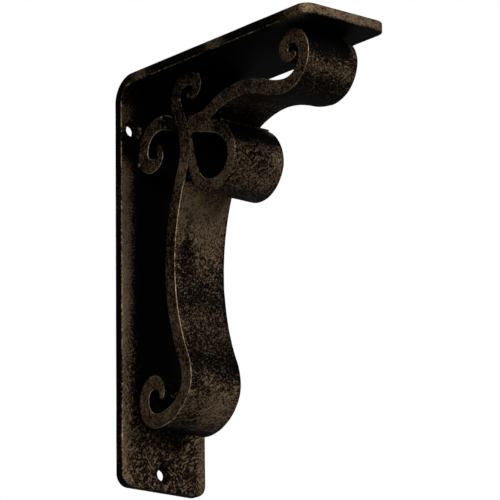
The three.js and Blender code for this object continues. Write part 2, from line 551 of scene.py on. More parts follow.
@dataclass
class FlatBar:
    """The flat bar that the scrolls are bent from."""

    width: float = 30.5 * MM
    thickness: float = 7.2 * MM
    edge_round: float = 0.5 * MM
    round_steps: int = 3
    across_cuts: int = 28
    edge_cuts: int = 4
    seams: tuple[float, ...] = (0.27, 0.39)
    seam_depth: float = 0.13 * MM

    def section(self, name: str, outer_sign: float) -> bpy.types.Object:
        """The bar's rounded section, lying flat on the origin with its width along X.

        Args:
            name: The object's name.
            outer_sign: +1 if the outer face is towards +Y, -1 if it is towards -Y.

        Returns:
            A closed loop of edges.
        """
        deselect_all()
        bpy.ops.mesh.primitive_plane_add(size=1.0)
        piece = name_active(name)
        piece.scale = (self.width, self.thickness, 1.0)
        apply_place(piece)
        edit_all()
        bpy.ops.mesh.bevel(
            offset=self.edge_round,
            segments=self.round_steps,
            affect="VERTICES",
            profile=0.5,
        )
        bpy.ops.mesh.delete(type="ONLY_FACE")
        half = self.thickness / 2 - TINY
        pick(piece, lambda p: abs(p.y) > half and abs(p.x) < self.width / 4, edges=True)
        bpy.ops.mesh.subdivide(number_cuts=self.across_cuts)
        side = self.width / 2 - TINY
        pick(piece, lambda p: abs(p.x) > side and abs(p.y) < self.thickness / 4, edges=True)
        bpy.ops.mesh.subdivide(number_cuts=self.edge_cuts)
        spacing = (self.width - 2 * self.edge_round) / (self.across_cuts + 1)
        for seam in self.seams:
            at = (seam - 0.5) * self.width
            near = spacing / 2 * 1.0001
            pick(piece, lambda p: p.y * outer_sign > half and abs(p.x - at) <= near)
            bpy.ops.transform.translate(value=(0, -outer_sign * self.seam_depth, 0))
        bpy.ops.object.mode_set(mode="OBJECT")
        return piece


@dataclass
class Plates:
    """The seat corner and the stretch that fit the drawn scrolls between the two plates."""

    thickness: float
    bar: FlatBar
    foot_margin: float = 25.6
    front_margin: float = 10.1
    corner: Vector = field(init=False)
    reach: float = field(init=False)
    height: float = field(init=False)
    top: float = field(init=False)
    foot: float = field(init=False)
    half_width: float = field(init=False)
    stretch: tuple[float, float] = field(init=False, default=(1.0, 1.0))

    def __post_init__(self) -> None:
        """Measures the strap and works out where a bar's middle is when it touches both plates."""
        low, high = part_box("strap")
        self.reach, self.height = -low.y, high.z - low.z
        self.top, self.foot, self.half_width = high.z, low.z, high.x
        inset = self.thickness + SEAT + self.bar.thickness / 2
        self.corner = Vector((0.0, -inset, high.z - inset))

    def fit(self, farthest: float, lowest: float) -> None:
        """Sets the stretch from the farthest point out and the lowest point of the drawn lines."""
        half = self.bar.thickness / 2
        out = self.reach - self.front_margin * MM - half + self.corner.y
        down = self.corner.z - self.foot - self.foot_margin * MM - half
        self.stretch = (out / (farthest * MM), down / (-lowest * MM))

    def to_frame(self, point: Point) -> Vector:
        """A drawn (out, up) point in millimetres, in the frame in metres."""
        return self.corner + Vector(
            (0.0, -point[0] * self.stretch[0] * MM, point[1] * self.stretch[1] * MM)
        )


@dataclass
class Scroll:
    """A scroll bent from the flat bar.

    Its middle line starts at (out, up) with a heading, and runs through bends of radius and turn.
    A tip tapers over its length to a share of the thickness and ends in a round nose. The shares
    give the thickness at distances from the start, where the bar is drawn out instead. Lengths
    are in millimetres.
    """

    name: str
    start: Point
    heading: float
    bends: tuple[Bend, ...]
    bears_on: tuple[Bearing, ...]
    outer_sign: float
    tip_at_start: bool = False
    tip_at_end: bool = False
    narrower: float = 0.0
    replaces: tuple[str, ...] = ()
    step: float = 0.8
    tip_length: float = 15.0
    tip_share: float = 0.5
    least_share: float = 0.06
    nose_steps: int = 6
    shares: tuple[tuple[float, float], ...] = ()
    share_steps: int = 80
    closest: float = 0.02

    def line(self) -> list[Point]:
        """The drawn middle line."""
        return bend_line(self.start, self.heading, self.bends)

    def slide(self, plates: Plates) -> Vector:
        """How far the stretched line moves until it bears on its plates."""
        points = [plates.to_frame(p) - plates.corner for p in self.line()]
        shift = Vector()
        if Bearing.WALL in self.bears_on:
            shift.y = -max(p.y for p in points)
        if Bearing.SHELF in self.bears_on:
            shift.z = -max(p.z for p in points)
        return shift

    def placed(self, plates: Plates) -> list[Vector]:
        """The middle line in the frame."""
        shift = self.slide(plates)
        return [plates.to_frame(p) + shift for p in self.line()]

    def _thickness_at(self, from_tip: float, half: float) -> float:
        """The share of the bar's thickness at a distance from its tip, both in millimetres."""
        rise = float(smooth_step(0.0, self.tip_length, np.array(from_tip)))
        taper = self.tip_share + (1 - self.tip_share) * rise
        nose = half * self.tip_share
        if from_tip < nose:
            taper *= math.sqrt(max(0.0, 1 - (1 - from_tip / nose) ** 2))
        return max(taper, self.least_share)

    def _drawn_out(self, from_start: float) -> float:
        """The share of the thickness where the bar is drawn out, by the distance from its start."""
        at, share = zip(*self.shares)
        return float(np.interp(from_start, at, share))

    def _stations(self, half: float) -> list[float]:
        """Distances from the tip, in millimetres, at which the tapered end gets its sections."""
        nose = half * self.tip_share
        quarter = math.pi / 2 / self.nose_steps
        near = [nose * (1 - math.cos(quarter * i)) for i in range(self.nose_steps + 1)]
        rest = self.tip_length - nose
        count = math.ceil(rest / self.step)
        return near + [nose + rest * i / count for i in range(1, count + 1)]

    def _with_tips(self, half: float) -> tuple[Point, float, list[Bend]]:
        """Lengthens the line by half the bar's thickness at each tip.

        Args:
            half: Half the bar's thickness, in millimetres.

        Returns:
            Where the line starts, its heading there, and its bends.
        """
        start, heading, bends = self.start, self.heading, list(self.bends)
        if self.tip_at_start:
            radius, turn = bends[0]
            extra = math.degrees(half / radius) * math.copysign(1, turn)
            bends[0] = (radius, turn + extra)
            start = bend_line(start, heading + 180, [(radius, -extra)])[-1]
            heading -= extra
        if self.tip_at_end:
            radius, turn = bends[-1]
            extra = math.degrees(half / radius) * math.copysign(1, turn)
            bends[-1] = (radius, turn + extra)
        return start, heading, bends

    def _stops(self, bends: list[Bend], half: float) -> list[float]:
        """The distances along the line at which the bar's thickness is set.

        Args:
            bends: The bends, with their tips.
            half: Half the bar's thickness, in millimetres.

        Returns:
            The distances in millimetres, from 0 to the line's length.
        """
        lengths = [radius * math.radians(abs(turn)) for radius, turn in bends]
        total = sum(lengths)
        marks = {sum(lengths[:i]) for i in range(len(bends) + 1)}
        if self.tip_at_start:
            marks |= set(self._stations(half))
        if self.tip_at_end:
            marks |= {total - s for s in self._stations(half)}
        if self.shares:
            marks |= {total * i / self.share_steps for i in range(1, self.share_steps)}
        stops = [0.0]
        for mark in sorted(marks):
            if mark - stops[-1] > self.closest:
                stops.append(mark)
        return stops

    def _sweep(self, half: float) -> None:
        """Spins the selected section round each bend in turn, and sets its thickness on the way.

        Args:
            half: Half the bar's thickness, in millimetres.
        """
        start, heading, bends = self._with_tips(half)
        stops = self._stops(bends, half)
        total = stops[-1]
        direction = math.radians(heading)
        share = 1.0
        point = Vector((0, -start[0] * MM, start[1] * MM))
        if self.tip_at_start:
            share = self._shrink(point, share, self._thickness_at(0.0, half))
        if self.shares:
            outer_face = point - self._left(direction) * half * MM
            share = self._shrink(outer_face, share, self._drawn_out(0.0))
        bend_end, bend_index = 0.0, -1
        for begin, end in zip(stops[:-1], stops[1:]):
            while begin > bend_end - 1.5 * self.closest and bend_index + 1 < len(bends):
                bend_index += 1
                radius, turn = bends[bend_index]
                bend_end += radius * math.radians(abs(turn))
            sign = math.copysign(1, turn)
            centre = point + self._left(direction) * sign * radius * MM
            angle = sign * (end - begin) / radius
            bpy.ops.mesh.spin(
                steps=max(1, round((end - begin) / self.step)),
                angle=angle,
                center=centre,
                axis=(1, 0, 0),
            )
            direction += angle
            left = self._left(direction)
            point = centre - left * sign * radius * MM
            wanted, pivot = 1.0, point
            if self.tip_at_start and end < self.tip_length + self.closest:
                wanted = self._thickness_at(end, half)
            if self.tip_at_end and total - end < self.tip_length + self.closest:
                wanted = min(wanted, self._thickness_at(total - end, half))
            if self.shares:
                wanted, pivot = self._drawn_out(end), point - left * half * MM
            share = self._shrink(pivot, share, wanted)

    def build(self, plates: Plates) -> bpy.types.Object:
        """Bends the bar along the line and fits it between the plates.

        Args:
            plates: The plates that the scroll is fitted between.

        Returns:
            The closed bar in its place.
        """
        bar = plates.bar
        piece = bar.section(self.name, self.outer_sign)
        half = bar.thickness / 2 / MM
        start, heading, _ = self._with_tips(half)
        piece.rotation_euler = (math.pi / 2 - math.radians(heading), 0, 0)
        piece.location = (0, -start[0] * MM, start[1] * MM)
        apply_place(piece)
        bpy.ops.object.mode_set(mode="EDIT")
        bpy.ops.mesh.select_mode(type="VERT")
        bpy.ops.mesh.select_all(action="SELECT")
        self._sweep(half)
        self._close_ends()
        self._fit(plates)
        bpy.ops.object.mode_set(mode="OBJECT")
        if self.narrower:
            piece.scale.x = 1 - 2 * self.narrower * MM / bar.width
            apply_place(piece)
        return piece

    @staticmethod
    def _left(direction: float) -> Vector:
        """The way to the left of a direction in the side view, given in radians."""
        return Vector((0, math.sin(direction), math.cos(direction)))

    @staticmethod
    def _shrink(point: Vector, share: float, wanted: float) -> float:
        """Makes the selected section thinner about a point, from one share to another."""
        if abs(wanted - share) > 1e-4:
            ratio = wanted / share
            bpy.ops.transform.resize(value=(1, ratio, ratio), center_override=tuple(point))
        return wanted

    @staticmethod
    def _close_ends() -> None:
        """Fills the open loop at each end and turns the faces outwards."""
        bpy.ops.mesh.select_all(action="DESELECT")
        bpy.ops.mesh.select_non_manifold()
        bpy.ops.mesh.fill_holes(sides=0)
        bpy.ops.mesh.select_all(action="SELECT")
        bpy.ops.mesh.normals_make_consistent(inside=False)

    def _fit(self, plates: Plates) -> None:
        """Stretches the drawn bar to the plates and slides it to its place."""
        bpy.ops.mesh.select_all(action="SELECT")
        bpy.ops.transform.resize(
            value=(1, plates.stretch[0], plates.stretch[1]), center_override=(0, 0, 0)
        )
        bpy.ops.transform.translate(value=plates.corner + self.slide(plates))


@dataclass
class Scrollwork:
    """The scrolls that brace the angle between the plates.

    The patches say how much lighter or darker the leg is painted at some heights, all in
    millimetres in the frame, and the ring's middle is its (y, z).
    """

    plates: Plates
    finish: bpy.types.Material
    work: DentsAndMarks
    leg: Scroll = field(
        default_factory=lambda: Scroll(
            "leg",
            start=(13.7, -151),
            heading=98,
            bends=(
                *((6.3, 142), (10.8, 120), (22.5, 56), (12.8, 37), (29, 20)),
                *((117, -45.5), (34, 43), (54, 6), (35, -8), (9, -144), (4.32, -138)),
            ),
            bears_on=(Bearing.WALL, Bearing.SHELF),
            outer_sign=-1.0,
            tip_at_start=True,
            tip_at_end=True,
            replaces=("leg_scroll",),
        )
    )
    rear: Scroll = field(
        default_factory=lambda: Scroll(
            "rear",
            start=(12.7, -32),
            heading=279,
            bends=((4.32, -68), (7.1, -121), (13, -107), (40, -14)),
            bears_on=(Bearing.WALL,),
            outer_sign=1.0,
            tip_at_start=True,
            narrower=0.12,
            replaces=("rear_scroll",),
        )
    )
    ring: Scroll = field(
        default_factory=lambda: Scroll(
            "ring",
            start=(35.7, -25.9),
            heading=268,
            bends=((64, 20.4), (13.4, 104), (13.2, 73), (16.5, 54.5), (80, 13)),
            bears_on=(),
            outer_sign=-1.0,
            narrower=0.18,
            shares=(
                *((0, 0.64), (12, 0.8), (24, 0.9), (40, 0.9)),
                *((56, 0.76), (70, 0.88), (98, 0.93)),
            ),
            replaces=("ring_scroll",),
        )
    )
    front: Scroll = field(
        default_factory=lambda: Scroll(
            "front",
            start=(33.7, -21.8),
            heading=-14,
            bends=(
                *((24, 41.5), (44.3, -40), (68, -10), (35, 20)),
                *((13.8, 72.5), (11.2, 67), (6.3, 112), (4.32, 120)),
            ),
            bears_on=(Bearing.SHELF,),
            outer_sign=-1.0,
            tip_at_end=True,
            narrower=0.09,
            replaces=("front_scroll",),
        )
    )
    bulge: float = -66.0
    leg_face: tuple[Patch, ...] = (
        (28, 17, 0.42),
        (-66, 7, 0.16),
        (-46, 8, -0.14),
        (-27, 6, 0.04),
        (-12, 7, -0.12),
    )
    leg_side: tuple[Patch, ...] = (
        (-62, 14, 0.16),
        (-27, 8, 0.1),
        (25, 16, -0.06),
        (50, 12, 0.2),
    )
    ring_middle: Point = (-61.0, 50.0)

    def __post_init__(self) -> None:
        """Fits the drawing to the plates."""
        self.plates.fit(
            farthest=max(out for out, _ in self.front.line()),
            lowest=min(up for _, up in self.leg.line()),
        )

    def _marks_of_leg(self, places: np.ndarray, normals: np.ndarray) -> Marks:
        """The leg is rubbed most on its bulge and above its waist, and painted with shade under the
        shelf, inside its foot curl and on faces turned to the wall.
        """
        x, y, z = places.T
        shelf_shade = smooth_step(52, 72, z)
        joint_shade = smooth_step(41, 44, z) * (1 - 0.7 * shelf_shade)
        curl_hollow_shade = (1 - smooth_step(-56, -48, z)) * smooth_step(-26, -22, y)
        face = patched(0.52, self.leg_face, z) - 0.15 * smooth_step(11, 15, x)
        face += 0.25 * smooth_step(-7, 1, x) * hump(self.bulge, 10, z)
        face -= 0.3 * hump(-7.5, 3.5, x) * hump(10, 13, z)
        # Painted shade: the leg's faces are darkened under the shelf and in the hollow of its foot
        # curl.
        face -= 0.75 * shelf_shade + 0.5 * curl_hollow_shade
        # Painted shade: faces turned towards the wall are darkened.
        face -= 0.15 * smooth_step(-0.3, 0.2, normals[:, 1])
        # Painted shade: the sides are a little darker under the shelf.
        side = patched(0.58, self.leg_side, z) - 0.12 * shelf_shade
        brushed = 1 - 0.5 * smooth_step(-62, -50, z)
        return {
            "wear": edge_share(normals[:, 0]) * (1 - 0.85 * joint_shade),
            "rub": on_sides(side, face, normals),
            "brushed": on_sides(0.0, brushed, normals),
        }

    @staticmethod
    def _marks_of_rear(places: np.ndarray, normals: np.ndarray) -> Marks:
        """The rear scroll is rubbed on its side, and its faces are painted black as shade."""
        _, y, z = places.T
        side = 0.55 - 0.28 * smooth_step(20, 27, -y) * smooth_step(60, 72, z)
        wear = edge_share(normals[:, 0]) * (1 - smooth_step(30, 34, -y))
        # Painted shade: both faces, in the recess by the wall, are black.
        return {"wear": wear, "rub": on_sides(side, -0.05, normals), "brushed": 0.0}

    def _marks_of_ring(self, places: np.ndarray, normals: np.ndarray) -> Marks:
        """The ring is rubbed on its side and low on its front, and painted with shade inside the D
        and under the front scroll.
        """
        x, y, z = places.T
        face = 0.55 + 0.15 * hump(36.5, 4.5, z) - 0.12 * (1 - smooth_step(30, 38, z))
        # Painted shade: above z 52 mm, under the front scroll, the front is darkened, and
        # brightened again near its far edge.
        face += 0.2 * smooth_step(2, 12, x) * hump(46, 8, z) - 0.55 * smooth_step(52, 60, z)
        face += 0.8 * smooth_step(8, 12, x) * smooth_step(58, 62, z)
        side = 0.74 - 0.4 * hump(-55, 9, y) * hump(28, 8, z)
        side -= 0.35 * hump(-70, 10, y) * hump(62, 8, z)
        inwards = ((self.ring_middle - places[:, 1:]) * normals[:, 1:]).sum(1)
        inner = smooth_step(0.0, 3.0, inwards)
        # Painted shade: the faces inside the D are darkened, while its inner edges stay worn
        # lighter.
        face = face * (1 - inner) - 0.2 * inner
        joined = smooth_step(40, 44, z) * smooth_step(-54, -50, y)
        wear = edge_share(normals[:, 0]) * (0.62 + 0.6 * inner) * (1 - 0.7 * joined)
        return {
            "wear": wear,
            "rub": on_sides(side, face, normals),
            "brushed": on_sides(0.0, 0.6, normals),
        }

    @staticmethod
    def _marks_of_front(places: np.ndarray, normals: np.ndarray) -> Marks:
        """The front scroll is rubbed where it stands out most, and painted black as shade up under
        the shelf.
        """
        x, _, z = places.T
        high = smooth_step(81, 88, z)
        # Painted shade: above z 81 mm, under the shelf, the face is darkened except near its far
        # edge.
        face = 0.34 + 0.36 * hump(76, 5, z) - 0.36 * high + 0.7 * high * smooth_step(9, 13, x)
        # Painted shade: faces turned towards the wall are darkened.
        face -= 0.15 * smooth_step(-0.3, 0.2, normals[:, 1])
        return {
            "wear": 0.85 * edge_share(normals[:, 0]),
            "rub": on_sides(0.6, face, normals),
            "brushed": on_sides(0.0, 0.6 * smooth_step(66, 74, z), normals),
        }

    def build(self) -> list[bpy.types.Object]:
        """Builds and dresses each scroll.

        Returns:
            The pieces.
        """
        pieces = []
        for scroll, mark_rule in (
            (self.leg, self._marks_of_leg),
            (self.rear, self._marks_of_rear),
            (self.ring, self._marks_of_ring),
            (self.front, self._marks_of_front),
        ):
            piece = scroll.build(self.plates)
            self.work.dress(piece, mark_rule, self.finish)
            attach(piece, "root")
            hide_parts(*scroll.replaces)
            pieces.append(piece)
        return pieces


# The plates


@dataclass
class Strap:
    """The bent plate: the wall plate with its screw holes, the bend and the shelf plate.

    The patches say where its edges are rubbed, by y along the shelf and by z down the wall.
    """

    plates: Plates
    finish: bpy.types.Material
    work: DentsAndMarks
    inner_bend: float = 7.8 * MM
    corner_round: float = 6.3 * MM
    edge_round: float = 0.8 * MM
    round_steps: int = 4
    corner_steps: int = 14
    grid: float = 2.2 * MM
    bend_steps: int = 24
    hole_sides: int = 48
    hole: float = 5.8 * MM
    mouth: float = 9.8 * MM
    mouth_depth: float = 1.8 * MM
    foot_rise: float = 8.5 * MM
    head_drop: float = 25.7 * MM
    edge_distance: float = 7.4 * MM
    overcut: float = 0.2 * MM
    proud: float = 1.0 * MM
    shelf_edge: tuple[Patch, ...] = ((-135, 12, 0.62), (-77, 12, 0.62), (-20, 10, 0.62))
    wall_edge: tuple[Patch, ...] = ((38, 14, 0.25), (-85, 14, 0.2))

    def _holes(self) -> list[tuple[float, float]]:
        """Each screw hole's x and z."""
        head = self.plates.half_width - self.edge_distance
        head_z = self.plates.top - self.head_drop
        return [(0.0, self.plates.foot + self.foot_rise), (-head, head_z), (head, head_z)]

    def _tongue(self, name: str, length: float) -> bpy.types.Object:
        """A flat plate with its two far corners and its edges round, and its near end open.

        Args:
            name: The object's name.
            length: From the open end at y = 0 to the far edge.

        Returns:
            The plate, from z = 0 up to its thickness.
        """
        width, thick = 2 * self.plates.half_width, self.plates.thickness
        deselect_all()
        bpy.ops.mesh.primitive_plane_add(size=1.0, location=(0, length / 2, 0))
        piece = name_active(name)
        piece.scale = (width, length, 1.0)
        apply_place(piece)
        pick(piece, lambda p: p.y > length / 2)
        bpy.ops.mesh.bevel(
            offset=self.corner_round,
            segments=self.corner_steps,
            affect="VERTICES",
            profile=0.5,
        )
        bpy.ops.mesh.select_all(action="SELECT")
        bpy.ops.mesh.extrude_region_move(TRANSFORM_OT_translate={"value": (0, 0, thick)})
        bpy.ops.mesh.select_all(action="SELECT")
        bpy.ops.mesh.normals_make_consistent(inside=False)
        pick(
            piece,
            lambda p: (p.z < TINY or p.z > thick - TINY) and p.y > TINY,
            edges=True,
        )
        bpy.ops.mesh.bevel(
            offset=self.edge_round,
            segments=self.round_steps,
            affect="EDGES",
            profile=0.5,
        )
        pick(piece, lambda p: p.y < TINY)
        bpy.ops.mesh.delete(type="ONLY_FACE")
        self._slice(piece, (1, 0, 0), width, -width / 2)
        self._slice(piece, (0, 1, 0), length, 0.0)
        return piece

    def _slice(
        self,
        piece: bpy.types.Object,
        normal: tuple[int, int, int],
        span: float,
        first: float,
    ) -> None:
        """Cuts a plate's faces along evenly spaced planes, so that dents can follow."""
        count = math.ceil(span / self.grid)
        bpy.ops.object.mode_set(mode="EDIT")
        for i in range(1, count):
            at = first + span * i / count
            bpy.ops.mesh.select_all(action="SELECT")
            bpy.ops.mesh.bisect(
                plane_co=tuple(part * at for part in normal), plane_no=normal
            )
        bpy.ops.object.mode_set(mode="OBJECT")

    def _drill(self, piece: bpy.types.Object, across: float, up: float) -> None:
        """Cuts a screw hole and its countersink through the wall plate.

        Args:
            piece: The strap.
            across: The hole's x.
            up: The hole's z.
        """
        thick = self.plates.thickness
        slope = (self.mouth - self.hole) / 2 / self.mouth_depth
        deep = self.proud + self.mouth_depth + self.overcut
        deselect_all()
        bpy.ops.mesh.primitive_cylinder_add(
            vertices=self.hole_sides,
            radius=self.hole / 2,
            depth=3 * thick,
            location=(across, -thick / 2, up),
            rotation=(math.pi / 2, 0, 0),
        )
        drill = bpy.context.object
        apply_place(drill)
        deselect_all()
        bpy.ops.mesh.primitive_cone_add(
            vertices=self.hole_sides,
            radius1=self.mouth / 2 + slope * self.proud,
            radius2=self.hole / 2 - slope * self.overcut,
            depth=deep,
            location=(across, -thick - self.proud + deep / 2, up),
            rotation=(-math.pi / 2, 0, 0),
        )
        sink = bpy.context.object
        apply_place(sink)
        cut_out(piece, drill)
        cut_out(piece, sink)

    def build(self) -> bpy.types.Object:
        """Builds the two tongues, spins the bend between them and drills the holes.

        Returns:
            The finished strap.
        """
        plates = self.plates
        outer = self.inner_bend + plates.thickness
        wall = self._tongue("wall_tongue", plates.height - outer)
        wall.rotation_euler = (-math.pi / 2, 0, 0)
        wall.location = (0, -plates.thickness, plates.top - outer)
        apply_place(wall)
        shelf = self._tongue("shelf_tongue", plates.reach - outer)
        shelf.rotation_euler = (0, 0, math.pi)
        shelf.location = (0, -outer, plates.top - plates.thickness)
        apply_place(shelf)
        level = plates.top - outer
        activate(wall)
        pick(wall, lambda p: p.z > level - TINY)
        bpy.ops.mesh.spin(
            steps=self.bend_steps,
            angle=-math.pi / 2,
            center=(0, -outer, level),
            axis=(1, 0, 0),
        )
        bpy.ops.object.mode_set(mode="OBJECT")
        activate(wall)
        shelf.select_set(True)
        bpy.ops.object.join()
        piece = name_active("bent_plate")
        edit_all()
        bpy.ops.mesh.remove_doubles(threshold=20 * TINY)
        bpy.ops.mesh.normals_make_consistent(inside=False)
        bpy.ops.object.mode_set(mode="OBJECT")
        for across, up in self._holes():
            self._drill(piece, across, up)
        self.work.dress(piece, self._marks_of, self.finish)
        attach(piece, "root")
        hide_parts("strap")
        return piece

    def _plate_facing(self, places: np.ndarray, normals: np.ndarray) -> np.ndarray:
        """The share of each normal square to the plate, which turns through the bend."""
        outer = (self.inner_bend + self.plates.thickness) / MM
        from_axis = places[:, 1:] - (-outer, self.plates.top / MM - outer)
        across = np.maximum(from_axis, 0.0)
        flat = np.all(across == 0, axis=1)
        across[flat] = (1.0, 0.0)
        across /= np.linalg.norm(across, axis=1)[:, None]
        return (normals[:, 1:] * across).sum(1)

    def _marks_of(self, places: np.ndarray, normals: np.ndarray) -> Marks:
        """Rubbed along the wall plate's sides and over its foot, and painted with shade behind the
        scrolls, under the shelf and inside the bend.

        Args:
            places: The vertices, in millimetres.
            normals: Their normals.

        Returns:
            The marks.
        """
        x, y, z = np.abs(places[:, 0]), places[:, 1], places[:, 2]
        foot = 1 - smooth_step(-75, -60, z)
        strip = smooth_step(11, 24, x) * (1 - 0.75 * hump(67, 7, z))
        # Painted shade: the side strips darken towards the top, under the shelf.
        strip *= 1 - 0.35 * smooth_step(70, 80, z)
        # Painted shade: between the foot and the side strips, behind the scrolls, the wall plate is
        # darkened.
        wall = np.maximum(0.58 * foot, 0.95 * strip) - 0.2 * (1 - foot) * (1 - strip)
        wall += 0.2 * smooth_step(72, 82, z) * smooth_step(8, 20, x)
        left = places[:, 0] < 0
        out = smooth_step(100, 135, -y)
        # Painted shade: the shelf's underside is near black by the wall and lightens towards its
        # front, more along its left edge than its right.
        under = -0.02 + 0.34 * out * (1 - 0.5 * hump(0, 9, x))
        under += 0.25 * smooth_step(17, 25, x) * (0.4 + out) * np.where(left, 1.3, -0.1)
        top, back = np.full(len(z), 0.45), np.full(len(z), 0.3)
        # Painted shade: the inside of the bend is kept dark, a little lighter towards the sides.
        inner_bend = 0.05 + 0.3 * smooth_step(12, 24, x)

        ahead, down, up, behind = (
            smooth_step(0.4, 0.8, turned)
            for turned in (-normals[:, 1], -normals[:, 2], normals[:, 2], normals[:, 1])
        )
        outer = (self.inner_bend + self.plates.thickness) / MM
        bent = smooth_step(0, 4, z - (self.plates.top / MM - outer - 2))
        bent *= smooth_step(-4, 0, y + outer + 2)
        shares = np.stack([ahead, down, up, behind]) + TINY
        faces = np.stack([wall, under, top, back])
        flat = (faces * shares).sum(0) / shares.sum(0)
        outside = up + behind
        flat = flat * (1 - bent) + (inner_bend * (1 - outside) + 0.4 * outside) * bent

        shelf_edge = patched(0.08, self.shelf_edge, y) + 0.45 * smooth_step(138, 143, -y)
        level = smooth_step(86, 94, z)
        rim = shelf_edge * level + patched(0.15, self.wall_edge, z) * (1 - level)
        facing = self._plate_facing(places, normals)
        rub = flat * facing**2 + rim * (1 - facing**2)
        bore = self._bore_share(places)
        return {
            "wear": 0.72 * edge_share(facing) * (1 - bore) + 0.35 * bore,
            "rub": rub * (1 - bore) + 0.35 * bore,
            "brushed": 1 - smooth_step(-40, -15, z),
        }

    def _bore_share(self, places: np.ndarray) -> np.ndarray:
        """Is 1 inside the screw holes and 0 elsewhere."""
        inside = np.zeros(len(places))
        for across, up in self._holes():
            reach = np.hypot(places[:, 0] - across / MM, places[:, 2] - up / MM)
            inside[reach < self.mouth / 2 / MM - 0.3] = 1.0
        return inside


# The welds


@dataclass
class WeldRun:
    """One bead of weld across a bar, laid in ripples along the corner beside its contact."""

    name: str
    centre: Vector
    length: float = 24 * MM
    radius: float = 2.4 * MM
    pitch: float = 1.3 * MM
    pitch_steps: int = 4
    ripple: float = 0.09

    def build(self, finish: bpy.types.Material, work: DentsAndMarks) -> bpy.types.Object:
        """Extrudes a round along the bar, with a ripple at each pitch.

        Args:
            finish: The weld's paint.
            work: How it is marked.

        Returns:
            The bead.
        """
        deselect_all()
        bpy.ops.mesh.primitive_circle_add(
            vertices=20,
            radius=self.radius,
            fill_type="NGON",
            location=(-self.length / 2, 0, 0),
            rotation=(0, math.pi / 2, 0),
        )
        piece = name_active(self.name)
        apply_place(piece)
        edit_all()
        steps = self.pitch_steps * math.ceil(self.length / self.pitch)
        move = self.length / steps
        share = 1.0
        for i in range(steps + 1):
            if i:
                bpy.ops.mesh.extrude_region_move(TRANSFORM_OT_translate={"value": (move, 0, 0)})
            wanted = self._share(i, steps)
            ratio = wanted / share
            share = wanted
            bpy.ops.transform.resize(
                value=(1, ratio, ratio),
                center_override=(-self.length / 2 + move * i, 0, 0),
            )
        bpy.ops.object.mode_set(mode="OBJECT")
        piece.location = self.centre
        apply_place(piece)
        work.dress(piece, self._marks_of, finish)
        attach(piece, "root")
        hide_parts(self.name.replace("bead_", "weld_"))
        return piece

    @staticmethod
    def _marks_of(places: np.ndarray, normals: np.ndarray) -> Marks:
        """A bead lies in a corner that nothing rubs, and is a little less black at the foot."""
        rub = 0.15 - 0.35 * smooth_step(-60, 40, places[:, 2])
        return {"wear": 0.0, "rub": rub, "brushed": 0.0}

    def _share(self, i: int, steps: int) -> float:
        """The share of the bead's radius at a step, round at both ends and rippled between."""
        along = i / steps
        from_end = min(along, 1 - along) * self.length
        end = math.sqrt(max(0.02, 1 - (1 - min(1.0, from_end / self.radius)) ** 2))
        turn = 2 * math.pi * along * self.length / self.pitch
        return end * (1 - self.ripple * (0.5 + 0.5 * math.cos(turn)))


@dataclass
class ForgedJoint:
    """Iron drawn into the fork where the ring leaves the leg, and a thin seam on the ring.

    Places are (out, up) in millimetres from the middle of the wall plate's back face.
    """

    finish: bpy.types.Material
    work: DentsAndMarks
    half_width: float = 14.95 * MM
    slices: int = 24
    rod_sides: int = 32
    fork: Point = (43.9, 45.6)
    fork_size: Point = (5.0, 8.6)
    hollow: float = 2.7
    hollow_drop: float = 0.7
    seam: Point = (68.7, 65.5)
    seam_radius: float = 0.45
    head: Point = (46.4, 67.2)
    head_radius: float = 3.3

    def _rod(
        self, name: str, place: Point, radius: float, half: float
    ) -> bpy.types.Object:
        """A round rod across the bracket, with its ends dressed flat.

        Args:
            name: Its name.
            place: Its middle.
            radius: In millimetres.
            half: Half its length, in metres.

        Returns:
            The rod.
        """
        deselect_all()
        bpy.ops.mesh.primitive_cylinder_add(
            vertices=self.rod_sides,
            radius=radius * MM,
            depth=2 * half,
            location=(0, -place[0] * MM, place[1] * MM),
            rotation=(0, math.pi / 2, 0),
        )
        rod = name_active(name)
        apply_place(rod)
        return rod

    def _slice_across(self, piece: bpy.types.Object) -> None:
        """Cuts a piece's long faces across, so that dents can follow."""
        activate(piece)
        bpy.ops.object.mode_set(mode="EDIT")
        for i in range(1, self.slices):
            bpy.ops.mesh.select_all(action="SELECT")
            at = self.half_width * (2 * i / self.slices - 1)
            bpy.ops.mesh.bisect(plane_co=(at, 0, 0), plane_no=(1, 0, 0))
        bpy.ops.object.mode_set(mode="OBJECT")

    def _web(self) -> bpy.types.Object:
        """Fills the fork with a block that is hollowed out underneath."""
        deselect_all()
        bpy.ops.mesh.primitive_cube_add(
            size=1.0, location=(0, -self.fork[0] * MM, self.fork[1] * MM)
        )
        web = name_active("fork_web")
        web.scale = (2 * self.half_width, self.fork_size[0] * MM, self.fork_size[1] * MM)
        apply_place(web)
        low = self.fork[1] - self.fork_size[1] / 2
        under = (self.fork[0], low - self.hollow_drop)
        cut_out(web, self._rod("hollow", under, self.hollow, 1.2 * self.half_width))
        return web

    @staticmethod
    def _marks_of(places: np.ndarray, normals: np.ndarray) -> Marks:
        """The joint is rubbed on its side, and its faces are painted dark as shade in the fork."""
        return {"wear": 0.0, "rub": on_sides(0.58, 0.1, normals), "brushed": 0.0}

    @staticmethod
    def _marks_of_seam(places: np.ndarray, normals: np.ndarray) -> Marks:
        """The seam stands proud, so it is worn along its length."""
        return {"wear": 0.65, "rub": 0.6, "brushed": 0.0}

    def build(self) -> list[bpy.types.Object]:
        """Builds the web, the head of the joint and the seam.

        Returns:
            The pieces.
        """
        web = self._web()
        head = self._rod("joint_head", self.head, self.head_radius, self.half_width)
        seam = self._rod("ring_seam", self.seam, self.seam_radius, 0.97 * self.half_width)
        for piece, mark_rule in (
            (web, self._marks_of),
            (head, self._marks_of),
            (seam, self._marks_of_seam),
        ):
            self._slice_across(piece)
            self.work.dress(piece, mark_rule, self.finish)
            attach(piece, "root")
        return [web, head, seam]


